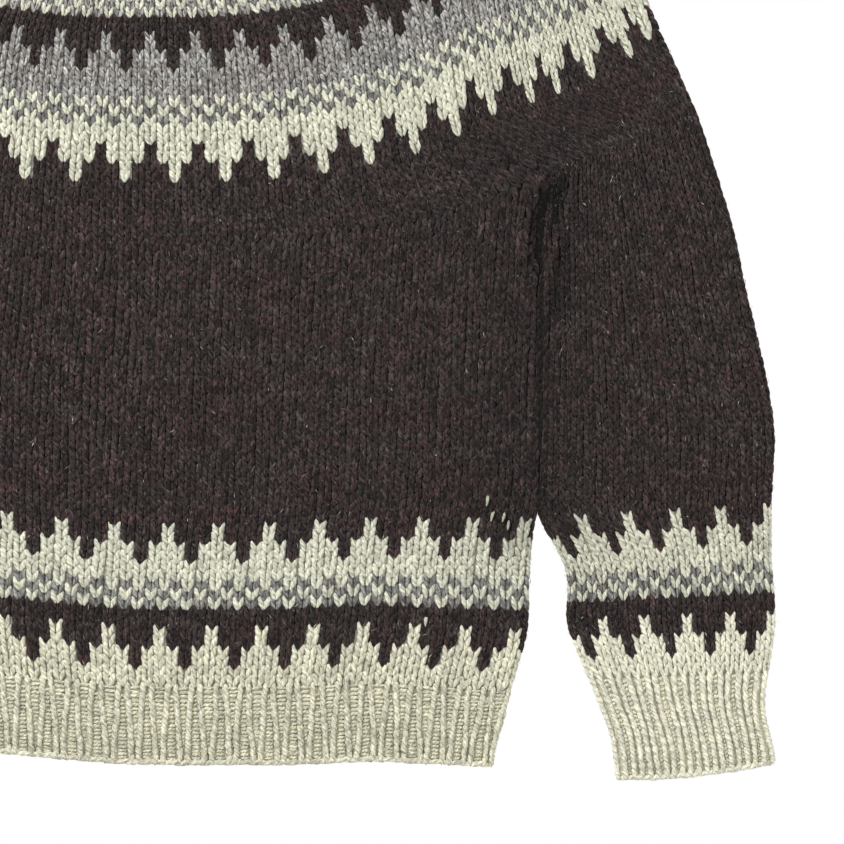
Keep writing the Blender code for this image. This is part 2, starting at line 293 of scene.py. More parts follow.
def yokeCourse(rows):
    atShare, atRise = yoke["armpit"]
    kinkAt, kinkWide = yoke["kink"]

    def course(row):
        edgeX, edgeUp, front, back, bend, kink, hook, slant = columnsAt(rows, row)

        def climb(share):
            curve = atRise * (np.minimum(share, atShare) / atShare) ** bend
            straight = (1 - atRise) * np.maximum(share - atShare, 0) / (1 - atShare)
            turned = np.maximum((share - yoke["hookFrom"]) / (1 - yoke["hookFrom"]), 0) ** 2
            level = curve + straight + kink * np.exp(-(((share - kinkAt) / kinkWide) ** 2))
            return level * (1 - hook) + hook * turned
        middle = flatHeight / 2
        return {"left": (-edgeX, edgeUp), "right": (edgeX, edgeUp), "sags": (edgeUp - front, edgeUp - back),
                "climb": climb, "folds": (cloth["fold"],) * 2, "pinches": (middle, middle), "slant": slant}
    return course


def evenSpread(share, row):
    return share


def bodySpread(rows):
    leanAt, leans = np.array(body["lean"], float).T

    def spread(share, row):
        middle, _, half, *_ = columnsAt(rows, row)
        lean = np.interp(middle, leanAt, leans) / half
        bulge = np.where(share < 0, body["bulge"] * np.sin(math.pi * np.abs(share)), 0)
        bulge = bulge * np.clip((body["rows"][-1][1] - middle) / body["bulgeFades"], 0, 1)
        drawnIn = np.maximum(body["rows"][0][3] / half - 1, 0)  # the hem narrows near its sides only
        return share * (1 + drawnIn * (1 - share**4)) - bulge + lean * (1 - np.abs(share))
    return spread


def yokeSpread(firstRow):
    rows = list(yoke["spreads"])
    tables = [np.array(table).T for table in yoke["spreads"].values()]

    def spread(share, row):
        at = np.clip(row + firstRow, rows[0], rows[-1])
        total = 0
        for number, table in enumerate(tables):
            weight = np.interp(at, rows, np.eye(len(rows))[number])
            total = total + weight * smoothAt(*table, np.abs(share))
        return np.sign(share) * total
    return spread


def tubeOf(makeCourse, rows, spread, stitches, side=1, waves=False, offset=0):
    # offset: where a stitch's middle lies between whole columns
    return {"course": makeCourse(rows), "spread": spread, "quarter": stitches / 4, "side": side,
            "waves": waves, "last": rows[-1][0], "offset": offset}


tubes = {
    "hem": tubeOf(bodyCourse, body["rib"], bodySpread(body["rib"]), body["stitches"], waves=True),
    "body": tubeOf(bodyCourse, body["rows"], bodySpread(body["rows"]), body["stitches"], waves=True),
    "neck": tubeOf(yokeCourse, yoke["rib"], yokeSpread(yoke["narrows"][2]), yoke["stitches"][3]),
}
for number, count in enumerate(yoke["stitches"][:3]):
    tubes[f"yoke{number}"] = tubeOf(yokeCourse, yoke["rows"], yokeSpread(0), count)
for name, side in (("Left", 1), ("Right", -1)):
    tubes["cuff" + name] = tubeOf(sleeveCourse, sleeve["rib"], evenSpread, sleeve["stitches"], side)
    tubes["sleeve" + name] = tubeOf(sleeveCourse, sleeve["rows"], evenSpread, sleeve["stitches"], side,
                                    offset=0.5)


def onTube(tube, column, row, sunk):
    # A point on the cloth: column in stitches from the front's middle, round the fold and over the back,
    # row in rows from the tube's start, sunk in millimetres below the outer face.
    turn = (column / tube["quarter"] + 2) % 4 - 2
    front = np.abs(turn) <= 1
    share = tube["spread"](np.where(front, turn, np.sign(turn) * 2 - turn), row)
    course = tube["course"](row)
    (leftX, leftUp), (rightX, rightUp) = course["left"], course["right"]
    length = np.hypot(rightX - leftX, rightUp - leftUp)
    facing = np.where(front, 1, -1)
    level = np.where(front, flatHeight - sunk, sunk)
    margin = cloth["pinchMargin"]
    ends = []
    for fold, pinch in zip(course["folds"], course["pinches"]):
        reach = (fold - sunk) * course["slant"]
        pinch = np.clip(pinch, sunk + margin, flatHeight - sunk - margin)
        rise = np.abs(level - pinch)
        arc = math.pi / 2 * np.sqrt((reach**2 + rise**2) / 2)
        ends.append((fold * course["slant"], reach, pinch, rise, arc))
    (foldL, reachL, pinchL, riseL, arcL), (foldR, reachR, pinchR, riseR, arcR) = ends
    whole = arcL + length - foldL - foldR + arcR
    fromLeft = (share + 1) / 2 * whole
    fromRight = whole - fromLeft
    angleL = np.clip(fromLeft / arcL, 0, 1) * math.pi / 2
    angleR = np.clip(fromRight / arcR, 0, 1) * math.pi / 2
    across = np.where(fromLeft < arcL, foldL - reachL * np.cos(angleL), foldL + fromLeft - arcL)
    across = np.where(fromRight < arcR, length - foldR + reachR * np.cos(angleR), across)
    z = np.where(fromLeft < arcL, pinchL + facing * riseL * np.sin(angleL), level)
    z = np.where(fromRight < arcR, pinchR + facing * riseR * np.sin(angleR), z)
    t = across / length
    x = leftX + (rightX - leftX) * t
    up = leftUp + (rightUp - leftUp) * t
    short = 1 - course["climb"](np.clip(np.abs(2 * t - 1), 0, 1))
    frontShare = np.clip((z - cloth["wall"]) / cloth["layerGap"], 0, 1)
    up = up - short * (course["sags"][0] * frontShare + course["sags"][1] * (1 - frontShare))
    if tube["waves"]:
        across, lifts = np.array(body["wave"], float).T
        low, high = body["waveFades"]
        up = up + np.interp(x, across, lifts) * np.clip((high - up) / (high - low), 0, 1)
    raised = np.clip((z - flatHeight / 2) / (flatHeight / 2 - sunk), 0, 1)
    sinks = hollow["depth"] * hollowAt(x, up) * np.clip(z + sunk - hollow["floor"], 0, None)
    z = z - sinks * np.clip((z - hollow["floor"]) / hollow["easing"], 0, 1)
    z = z + (ridgeHeight(x, up) * (1 - hollowAt(x, up)) + cloth["undulation"] * softHills(x, up)) * raised
    return np.stack((x * tube["side"], up + hemY, z), axis=-1) * mm


# Yarn shapes that Geometry Nodes sets along each leg: Y runs along the leg, Z out of the cloth.
# A section has places across and out; a ring has its place along the leg and the section's size there.
def makeLobe(name, section, rings):
    points = [(0, 0, 0)]
    for y, size in rings:
        points += [(x * size, y, z * size) for x, z in section]
    points.append((0, 1, 0))
    count, last = len(section), len(points) - 1
    faces = []
    for k in range(count):
        n = (k + 1) % count
        faces.append((0, 1 + n, 1 + k))
        for ring in range(len(rings) - 1):
            low, high = 1 + ring * count, 1 + (ring + 1) * count
            faces.append((low + k, low + n, high + n, high + k))
        top = 1 + (len(rings) - 1) * count
        faces.append((top + k, top + n, last))
    mesh = bpy.data.meshes.new(name)
    mesh.from_pydata(points, [], faces)
    mesh.shade_smooth()
    place = mesh.attributes.new("yarnPlace", "FLOAT_VECTOR", "POINT")
    place.data.foreach_set("vector", np.array(points, np.float32).ravel())
    return addObject(name, mesh)


fullLobe = makeLobe("fullLobe", [(-0.5, -0.1), (-0.28, 0.42), (0.28, 0.42), (0.5, -0.1), (0, -0.45)],
                    [(0.12, 0.52), (0.48, 1.0), (0.84, 0.76)])
plainLobe = makeLobe("plainLobe", [(-0.5, -0.25), (0, 0.5), (0.5, -0.25)], [(0.16, 0.85), (0.72, 0.85)])

# columns and rows from the stitch's foot; lifts in millimetres out of the cloth;
# flare: how much further apart a rib's two legs stand at its edge;
# sinks: how fast and how far a rib's purl sinks towards the edge;
# openRows: the rows in which yarn shows between a rib's two legs
stitchShapes = {
    "knit": {"foot": (0.07, -0.2), "head": (0.42, 1.4), "footLift": 0.45, "headLift": -0.3, "wide": 1.0,
             "flare": 0},
    "stray": {"foot": (0, 0), "head": (0.06, 1.0), "footLift": 1.5, "headLift": 1.4, "wide": 0.4,
              "flare": 0},
    "hem": {"foot": (0.27, -0.2), "head": (0.4, 1.45), "footLift": 1.2, "headLift": 0.6, "wide": 1.05,
            "flare": 0.38, "sinks": (1.5, 1.3), "openRows": 9},
    "cuff": {"foot": (0.36, -0.2), "head": (0.47, 1.45), "footLift": 1.3, "headLift": 0.7, "wide": 1.45,
             "flare": 0.06, "sinks": (0.5, 0.8), "openRows": 0},
}
flareFades = {"whole": 1.15, "rows": 8.5}
wanderWaves = [(0.43, 1.7), (0.19, -0.9)]  # a row's and a column's part in how a column strays
# heathered yarn changes along its length: one line of values a row of knitting
drifting = {"lines": 97, "values": 120, "reaches": (5, 1.7), "contrast": 1.8}
driftTable = randomness.random((len(drifting["reaches"]), drifting["lines"], drifting["values"]))


def yarnDrift(tube, column, row):
    line = (np.round(row).astype(int) * 5 + int(tube["quarter"]) * 11) % drifting["lines"]
    total = 0
    for table, reach in zip(driftTable, drifting["reaches"]):
        at = (column / reach + drifting["values"] / 2) % (drifting["values"] - 1)
        i = np.floor(at).astype(int)
        total = total + (table[line, i] * (1 - at + i) + table[line, i + 1] * (at - i)) / 2
    return np.clip((total - 0.5) * drifting["contrast"] + 0.5, 0, 1)


def faceAndGauge(tube, column, row):
    step = cloth["probe"]
    sunk = cloth["yarnSunk"]
    across = onTube(tube, column + step, row, sunk) - onTube(tube, column - step, row, sunk)
    upward = onTube(tube, column, row + step, sunk) - onTube(tube, column, row - step, sunk)
    face = np.cross(across, upward) * tube["side"]
    length = np.linalg.norm(face, axis=1, keepdims=True)
    return face / length, np.linalg.norm(across, axis=1) / (2 * step) / mm


def oneLeg(foot, head, face, wide, codes, drift):
    return {"foot": foot, "along": head - foot, "face": face, "wide": wide, "code": codes, "drift": drift}


def layLegs(tube, column, row, codes, shape, edge=0):
    legs = []
    drift = yarnDrift(tube, column, row)
    stray = sum(np.sin(row * byRow + column * byColumn) for byRow, byColumn in wanderWaves)
    stray *= np.clip(np.minimum(row, tube["last"] - row) / 4, 0, 1)
    column = column + cloth["wander"] * stray
    for hand in (-1, 1):
        ends = []
        for end in ("foot", "head"):
            aside, above = shape[end]
            lift = shape[end + "Lift"]
            uneven = randomness.normal(0, cloth["uneven"], (2, len(column)))
            away = np.abs(row + above - edge) / flareFades["rows"]
            flare = shape["flare"] * np.clip(flareFades["whole"] - away, 0, 1)
            place = (column + hand * (aside + flare) + uneven[0], row + above + uneven[1])
            face, gauge = faceAndGauge(tube, *place)
            ends.append(onTube(tube, *place, cloth["yarnSunk"]) + face * (lift * mm))
        wide = np.clip(gauge / cloth["gauge"], *cloth["widths"]) * shape["wide"]
        legs.append(oneLeg(*ends, face, wide, codes, drift))
    return legs


bars = {  # spans in stitches, lifts in millimetres, widths as shares of the yarn's
    "slopes": 0.07,
    "places": (0.25, 0.75),  # two to a row
    "purlSpan": 0.6,
    "sunkenSpan": 0.25,  # what a sunken bar loses of its span
    "purlLift": -0.3,
    "purlWidth": 0.66,
    "openSpan": 0.42,
    "openLift": -0.5,
    "openWidth": 0.6,
    "edgeSpan": 0.85,
    "edgeLift": 0.5,
    "edgeWidth": 0.95,
    "edgeSlope": 0.2,
    "inward": 0.2,
}


def layBars(tube, column, row, span, lift, wide, codes, slope=0.0):
    # short lengths of yarn across the cloth: purl bumps, and the edges where a rib is cast on or off
    face, _ = faceAndGauge(tube, column, row)
    slope = slope + randomness.normal(0, bars["slopes"], len(column))
    row = row + randomness.normal(0, cloth["uneven"], len(column))
    lift = np.broadcast_to(lift, column.shape)[:, None]
    ends = [onTube(tube, column + hand * span, row + hand * slope, cloth["yarnSunk"]) + face * (lift * mm)
            for hand in (-1, 1)]
    return [oneLeg(*ends, face, np.full(len(column), wide), codes, np.full(len(column), 0.5))]


def makeHair(name):
    # a fine bent strip, which the same nodes set as they do the yarn
    points = [(0, 0, 0), (-0.5, 0.5, 1), (0.5, 0.5, 1), (0, 1, 0)]
    mesh = bpy.data.meshes.new(name)
    mesh.from_pydata(points, [], [(0, 2, 1), (1, 2, 3)])
    mesh.shade_smooth()
    return addObject(name, mesh)


hairLobe = makeHair("hairLobe")
hairs = {  # millimetres, radians, and shares of the width
    "width": 0.3,
    "bow": 0.5,
    "length": (1.6, 4.2),
    "widths": (0.6, 1.3),
    "sunk": 0.2,
    "lift": 0.3,
    "turn": 0.6,
    "tilt": 0.7,
    "unevenness": 0.4,
    "mottling": 0.2,
    "colours": ("#5c5049", "#857b72", "#d6d0c4"),  # on the dark wool
    "shares": (0.62, 0.33, 0.05),
}


def layHairs(tube, count, rows, codesAt):
    quarter = tube["quarter"]
    column = randomness.uniform(-quarter, quarter, count)
    row = randomness.uniform(*rows, count)
    codes = codesAt(column, row)
    step, sunk = cloth["probe"], hairs["sunk"]
    foot = onTube(tube, column, row, sunk)
    across = onTube(tube, column + step, row, sunk) - foot
    upward = onTube(tube, column, row + step, sunk) - foot
    face = np.cross(across, upward) * tube["side"]
    across, upward, face = (v / np.linalg.norm(v, axis=1, keepdims=True) for v in (across, upward, face))
    angle = randomness.normal(0, hairs["turn"], count)[:, None]
    along = upward * np.cos(angle) + across * np.sin(angle)
    length = randomness.uniform(*hairs["length"], count)[:, None] * mm
    tilt = randomness.normal(0, hairs["tilt"], count)[:, None]
    bow = face + np.cross(along, face) * tilt
    foot = foot + face * randomness.uniform(-hairs["lift"], hairs["lift"], count)[:, None] * mm
    wide = randomness.uniform(*hairs["widths"], count)
    return [oneLeg(foot, foot + along * length, bow, wide, codes, np.full(count, 0.5))]


def stitchTree():
    tree = bpy.data.node_groups.new("knitStitches", "GeometryNodeTree")
    sockets = (("Geometry", "Geometry"), ("Lobe", "Object"), ("Wool", "Material"), ("Yarn Width", "Float"),
               ("Yarn Depth", "Float"), ("Unevenness", "Float"), ("Seed", "Int"))
    for name, kind in sockets:
        tree.interface.new_socket(name, in_out="INPUT", socket_type="NodeSocket" + kind)
    tree.interface.new_socket("Geometry", in_out="OUTPUT", socket_type="NodeSocketGeometry")
    given = addNode(tree, "NodeGroupInput").outputs

    def stored(name, kind):
        return addNode(tree, "GeometryNodeInputNamedAttribute", {"Name": name}, data_type=kind).outputs[0]

    def chance(salt):
        seed = addNode(tree, "ShaderNodeMath", {0: given["Seed"], 1: salt}, operation="ADD").outputs[0]
        spread = addNode(tree, "FunctionNodeRandomValue", {2: -1.0, 3: 1.0, 8: seed},
                         data_type="FLOAT").outputs[1]
        return addNode(tree, "ShaderNodeMath", {0: spread, 1: given["Unevenness"], 2: 1.0},
                       operation="MULTIPLY_ADD").outputs[0]

    def product(first, second):
        return addNode(tree, "ShaderNodeMath", {0: first, 1: second}, operation="MULTIPLY").outputs[0]

    along = stored("along", "FLOAT_VECTOR")
    wide = stored("wide", "FLOAT")
    turn = addNode(tree, "FunctionNodeAxesToRotation",
                   {"Primary Axis": along, "Secondary Axis": stored("face", "FLOAT_VECTOR")},
                   primary_axis="Y", secondary_axis="Z").outputs[0]
    length = addNode(tree, "ShaderNodeVectorMath", {0: along}, operation="LENGTH").outputs["Value"]
    scale = addNode(tree, "ShaderNodeCombineXYZ", {
        0: product(product(given["Yarn Width"], wide), chance(1.0)),
        1: length,
        2: product(given["Yarn Depth"], chance(2.0)),
    }).outputs[0]
    leg = addNode(tree, "GeometryNodeObjectInfo", {"Object": given["Lobe"]}).outputs["Geometry"]
    legs = addNode(tree, "GeometryNodeInstanceOnPoints", {
        "Points": given["Geometry"],
        "Instance": leg,
        "Rotation": turn,
        "Scale": scale,
    }).outputs[0]
    real = addNode(tree, "GeometryNodeRealizeInstances", {"Geometry": legs}).outputs[0]
    woolly = addNode(tree, "GeometryNodeSetMaterial", {"Geometry": real, "Material": given["Wool"]})
    addNode(tree, "NodeGroupOutput", {"Geometry": woolly.outputs[0]})
    return tree


stitchNodes = stitchTree()


def storeValues(mesh, name, kind, values, domain="POINT"):
    attribute = mesh.attributes.new(name, kind, domain)
    key = {"FLOAT": "value", "FLOAT_VECTOR": "vector", "FLOAT_COLOR": "color"}[kind]
    attribute.data.foreach_set(key, np.ascontiguousarray(values, np.float32).ravel())


def lightLeft(places):
    # the share of the light that reaches these places on the front
    across, up, _ = places.T / mm
    inShade = ridgeHeight(across, up - hemY, shades) + hollow["shade"] * hollowAt(across, up - hemY)
    return np.clip(1 - inShade, cloth["darkest"], cloth["lightest"])


def makeStitches(name, legs, lobe, material):
    isHair = lobe == hairLobe
    joined = {key: np.concatenate([leg[key] for leg in legs]) for key in legs[0]}
    count = len(joined["foot"])
    mesh = bpy.data.meshes.new(name)
    mesh.from_pydata(joined["foot"].tolist(), [], [])
    storeValues(mesh, "along", "FLOAT_VECTOR", joined["along"])
    storeValues(mesh, "face", "FLOAT_VECTOR", joined["face"])
    storeValues(mesh, "wide", "FLOAT", joined["wide"])
    mottled = yarnMottling[joined["code"]]
    plain, more = cloth["toneSpread"]
    tone = 1 + randomness.normal(0, 1, count) * (plain + more * mottled)
    inFront = joined["face"][:, 2] > -0.2  # also on the folds, up to where they turn under
    # painted shade and painted light: the share of light lightLeft leaves in folds, the hollow and on
    # raised edges, multiplied into the legs' random tone
    light = np.where(inFront, lightLeft(joined["foot"] + joined["along"] / 2), 1)
    storeValues(mesh, "tone", "FLOAT", np.clip(tone, *cloth["tones"]) * light)
    storeValues(mesh, "drift", "FLOAT", joined["drift"])
    storeValues(mesh, "mottling", "FLOAT", mottled * (hairs["mottling"] if isHair else 1))
    storeValues(mesh, "fleece", "FLOAT", randomness.uniform(0, 100, count))
    colours = yarnColours[joined["code"]]
    if isHair:
        choices = np.array([linearFromHex(text) + [1] for text in hairs["colours"]])
        onDark = joined["code"] == yarnLetters.index("d")
        colours[onDark] = choices[randomness.choice(len(choices), onDark.sum(), p=hairs["shares"])]
    storeValues(mesh, "yarnColour", "FLOAT_COLOR", colours)
    piece = addObject(name, mesh)
    modifier = piece.modifiers.new("stitches", "NODES")
    modifier.node_group = stitchNodes
    width, depth = (hairs["width"], hairs["bow"]) if isHair else (cloth["yarnWidth"], cloth["yarnDepth"])
    values = {"Lobe": lobe, "Wool": material, "Yarn Width": width * mm, "Yarn Depth": depth * mm,
              "Unevenness": (hairs if isHair else cloth)["unevenness"], "Seed": len(name)}
    for item in stitchNodes.interface.items_tree:
        if item.in_out == "INPUT" and item.name in values:
            modifier[item.identifier] = values[item.name]
    graph = bpy.context.evaluated_depsgraph_get()
    final = bpy.data.meshes.new_from_object(piece.evaluated_get(graph))
    piece.modifiers.remove(modifier)
    piece.data = final
    final.name = name
    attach(piece, "root")
    say(f"{name}: {count} lengths of yarn, {sum(len(p.vertices) - 2 for p in final.polygons)} triangles")
    return piece


foldSteps = (-0.75, -0.25, 0, 0.25, 0.75)  # a shell's closer columns at a fold, in stitches from it


def makeShell(name, tube, stitches, rows, codesAt, material, outerSunk=cloth["shellSunk"],
              tone=cloth["shellPaintedShade"]):
    # a closed thin wall: the outer face at a cell a stitch, the inner one with fewer rows, and both ends
    half, quarter = stitches / 2, stitches / 4
    atFolds = [fold + step for fold in (-quarter, quarter) for step in foldSteps]
    around = np.unique(np.concatenate((np.arange(-half, half) - 0.5 + tube["offset"], atFolds)))
    columns = len(around)
    middles = (around + np.append(around[1:], around[0] + stitches)) / 2
    innerRows = rows[np.unique(np.linspace(0, len(rows) - 1, max(2, len(rows) // 4)).astype(int))]
    points, faces, codes, starts = [], [], [], []
    for levels, sunk, flip in ((rows, outerSunk, False), (innerRows, cloth["wall"], True)):
        start = sum(len(p) for p in points)
        starts.append((start, start + (len(levels) - 1) * columns))
        grid = np.meshgrid(around, levels)
        points.append(onTube(tube, grid[0].ravel(), grid[1].ravel(), sunk))
        for i in range(len(levels) - 1):
            for k in range(columns):
                n = (k + 1) % columns
                low, high = start + i * columns, start + (i + 1) * columns
                face = (low + k, low + n, high + n, high + k)
                faces.append(face[::-1] if flip else face)
                codes.append((middles[k], levels[i]))
    (outerLow, outerHigh), (innerLow, innerHigh) = starts
    for k in range(columns):
        n = (k + 1) % columns
        faces.append((innerLow + k, innerLow + n, outerLow + n, outerLow + k))
        faces.append((outerHigh + k, outerHigh + n, innerHigh + n, innerHigh + k))
        codes += [(middles[k], rows[0]), (middles[k], rows[-2])]
    if tube["side"] < 0:
        faces = [face[::-1] for face in faces]
    mesh = bpy.data.meshes.new(name)
    mesh.from_pydata(np.concatenate(points).tolist(), [], faces)
    mesh.materials.append(material)
    mesh.shade_smooth()
    column, row = np.array(codes).T
    faceCodes = codesAt(column, row)
    storeValues(mesh, "yarnColour", "FLOAT_COLOR", yarnColours[faceCodes], "FACE")
    storeValues(mesh, "mottling", "FLOAT", yarnMottling[faceCodes], "FACE")
    # painted shade and painted light: the shell's painted shade between the stitches, times the painted
    # shade of folds and hollow and the painted light on raised edges
    middle = np.concatenate(points)[np.array(faces)].mean(axis=1)
    aboveBack = middle[:, 2] > (outerSunk + 0.05) * mm
    light = np.where(aboveBack, lightLeft(middle), 1)
    storeValues(mesh, "tone", "FLOAT", tone * light, "FACE")
    return addObject(name, mesh)


# Materials
wool = {  # sizes in millimetres
    "patches": 6,
    "shellFibres": 0.7,
    "shellDrift": 4.5,
    "across": 3.4,  # what a leg's unit shape stands for, so that fibres keep their size
    "twist": 3.4,  # how far the fibres wind across on their way along the leg
    "along": 2.2,
    "fibres": 0.95,
    "plyTurns": (5.4, 16.5),  # radians of ply across and along a leg
    # painted light and shade along the plies, as a share of the colour
    "plyLight": 0.24,
    "contrast": (0.3, 1.9),  # of plain wool, and what mottling adds
    "streaks": 2.8,
    "haze": 3.3,
    "hazeSize": 1.0,
    "hazeStretch": (1.0, 0.45, 1.0),  # longer up the garment
    "darkest": 0.15,
    "redder": (1.06, 0.86, 0.88, 1),
    "greyer": (0.98, 1.12, 1.1, 1),
    "heathered": (0.5, 1.0),  # from this mottling on the yarn drifts in hue
    "paleSize": 1.3,
    "paleFrom": (0.63, 0.73),
    "paleShare": 0.55,
    "pale": "#8d857c",
    "plyRelief": 0.7,
    "relief": 0.5,
    "surface": {"Roughness": 0.95, "Specular IOR Level": 0.15, "Sheen Weight": 0.12,
                "Sheen Roughness": 0.6},
}


def woolMaterial(name, isShell):
    material = bpy.data.materials.new(name)
    material.use_nodes = True
    tree = material.node_tree
    shader = tree.nodes["Principled BSDF"]

    def maths(operation, first, second, third=0.0):
        return addNode(tree, "ShaderNodeMath", {0: first, 1: second, 2: third},
                       operation=operation).outputs[0]

    def noise(vector, scale, detail=2.0):
        return addNode(tree, "ShaderNodeTexNoise",
                       {"Vector": vector, "Scale": scale, "Detail": detail}).outputs[0]

    def ramp(value, low, high, fromValue=0.0, toValue=1.0):
        return addNode(tree, "ShaderNodeMapRange",
                       {0: value, 1: low, 2: high, 3: fromValue, 4: toValue}).outputs[0]

    def stored(name, output="Fac"):
        return addNode(tree, "ShaderNodeAttribute", attribute_name=name).outputs[output]

    def mix(share, first, second, blend="MIX"):
        return addNode(tree, "ShaderNodeMix", {0: share, 6: first, 7: second},
                       data_type="RGBA", blend_type=blend).outputs[2]

    mottled = stored("mottling")
    place = addNode(tree, "ShaderNodeTexCoord").outputs["Object"]
    patches = noise(place, 1 / (wool["patches"] * mm), 3.0)
    if isShell:
        fibres = noise(place, 1 / (wool["shellFibres"] * mm))
        drift = noise(place, 1 / (wool["shellDrift"] * mm))
        plies = 0.5
    else:
        fleece, drift = stored("fleece"), stored("drift")
        # fibres wind along the leg: its unit shape brought to millimetres, and sheared for the twist
        parts = addNode(tree, "ShaderNodeSeparateXYZ", {0: stored("yarnPlace", "Vector")}).outputs
        sheared = maths("MULTIPLY", parts[1], wool["twist"])
        acrossYarn = maths("MULTIPLY_ADD", parts[0], wool["across"], sheared)
        alongYarn = maths("MULTIPLY_ADD", parts[1], wool["along"], fleece)
        wound = addNode(tree, "ShaderNodeCombineXYZ", {0: acrossYarn, 1: alongYarn, 2: parts[2]}).outputs[0]
        fibres = noise(wound, wool["fibres"], 3.0)
        turnAcross, turnAlong = wool["plyTurns"]
        turns = maths("MULTIPLY", parts[0], turnAcross)
        turns = maths("ADD", turns, maths("MULTIPLY", parts[1], turnAlong))
        plies = maths("MULTIPLY_ADD", maths("SINE", maths("ADD", turns, fleece), 0.0), 0.5, 0.5)
    # light and dark hairs: strong in the heathered yarns, faint in the cream
    plain, more = wool["contrast"]
    contrast = maths("MULTIPLY_ADD", mottled, more, plain)
    streaky = maths("MULTIPLY", contrast, wool["streaks"])
    streaks = maths("MULTIPLY_ADD", maths("SUBTRACT", fibres, 0.5), streaky, 1.0)
    broad = maths("MULTIPLY_ADD", maths("SUBTRACT", patches, 0.5), contrast, 1.0)
    stretched = addNode(tree, "ShaderNodeVectorMath", {0: place, 1: wool["hazeStretch"]},
                        operation="MULTIPLY").outputs[0]
    haze = maths("SUBTRACT", noise(stretched, 1 / (wool["hazeSize"] * mm), 3.0), 0.5)
    hazy = maths("MULTIPLY_ADD", haze, maths("MULTIPLY", mottled, wool["haze"]), 1.0)
    # painted light and shade along the plies' twist, on top of their bump
    plyShading = maths("MULTIPLY_ADD", maths("SUBTRACT", plies, 0.5), wool["plyLight"], 1.0)
    # the stored tone carries painted shade and painted light as well as the yarn's own random tone
    lit = maths("MULTIPLY", stored("tone"), maths("MULTIPLY", hazy, plyShading))
    light = maths("MULTIPLY", maths("MULTIPLY", streaks, broad), lit)
    light = maths("MAXIMUM", light, wool["darkest"])
    colour = addNode(tree, "ShaderNodeVectorMath", {0: stored("yarnColour", "Color"), "Scale": light},
                     operation="SCALE").outputs[0]
    # heathered yarn drifts between a redder and a greyer brown
    hue = mix(drift, wool["redder"], wool["greyer"])
    tinted = mix(ramp(mottled, *wool["heathered"]), colour, hue, "MULTIPLY")
    # a few pale hairs, which show on the dark fleece
    pale = noise(place, 1 / (wool["paleSize"] * mm), 3.0)
    paleHairs = maths("MULTIPLY", ramp(pale, *wool["paleFrom"], 0.0, wool["paleShare"]), mottled)
    mixed = mix(paleHairs, tinted, (*linearFromHex(wool["pale"]), 1))
    tree.links.new(mixed, shader.inputs["Base Color"])
    relief = maths("MULTIPLY_ADD", plies, wool["plyRelief"], fibres)
    bump = addNode(tree, "ShaderNodeBump",
                   {"Height": relief, "Strength": 1.0, "Distance": wool["relief"] * mm}).outputs[0]
    tree.links.new(bump, shader.inputs["Normal"])
    for socket, value in wool["surface"].items():
        shader.inputs[socket].default_value = value
    return material


yarnWool = woolMaterial("undyedSheepsWoolYarn", False)  # carded, lightly twisted bulky wool
groundWool = woolMaterial("undyedSheepsWoolBehind", True)  # the same wool, seen between the stitches


def makeFuzz(name, tube, settings, codesAt):
    legs = layHairs(tube, settings["hairs"], (0, settings["rows"][-1][0]), codesAt)
    return makeStitches(name, legs, hairLobe, yarnWool)


def allCells(stitches, rows):
    columns, levels = np.meshgrid(np.arange(stitches) - stitches // 2, np.arange(rows))
    return columns.ravel(), levels.ravel()


def splitFront(tube, column):
    turn = (column / tube["quarter"] + 2) % 4 - 2
    return np.abs(turn) <= 1 + 0.5 / tube["quarter"]


def chosen(mask, *arrays):
    return [array[mask] for array in arrays]


say("surfaces and yarn ready")
stitchPieces = {}


# Body: one tube with the band at its foot
def bodyCodes(column, row):
    return chartYarn(bandChart, np.round(column).astype(int), np.floor(row + 0.01).astype(int))


strayCream = [(26.8, 18.4), (27.4, 16.9), (28.3, 16.8), (28.8, 16.0), (22.9, 6.0)]  # column, row
bodyLast = body["rows"][-1][0]
columns, levels = allCells(body["stitches"], bodyLast)
codes = bodyCodes(columns, levels)
inFront = splitFront(tubes["body"], columns)
columns, levels = columns.astype(float), levels.astype(float)
for part, mask, lobe in (("Front", inFront, fullLobe), ("Back", ~inFront, plainLobe)):
    legs = layLegs(tubes["body"], *chosen(mask, columns, levels, codes), stitchShapes["knit"])
    if lobe == fullLobe:
        strayColumns, strayRows = np.array(strayCream).T
        strayCodes = np.full(len(strayColumns), yarnLetters.index("c"))
        legs += layLegs(tubes["body"], strayColumns, strayRows, strayCodes, stitchShapes["stray"])
    piece = makeStitches("bodyStitches" + part, legs, lobe, yarnWool)
    stitchPieces.setdefault("body", []).append(piece)
bodyRows = np.append(np.arange(bodyLast), bodyLast + cloth["lap"])
bodyCloth = makeShell("bodyCloth", tubes["body"], body["stitches"], bodyRows, bodyCodes, groundWool)
stitchPieces["body"].append(makeFuzz("bodyFuzz", tubes["body"], body, bodyCodes))
say("body done")


# Sleeves, a tube each, the left one's patterns mirrored on the right
def sleeveCodes(column, row):
    stitch = np.round(column - 0.5).astype(int) + sleeve["chartFrom"]
    return chartYarn(sleeveChart, stitch, np.floor(row + 0.01).astype(int))


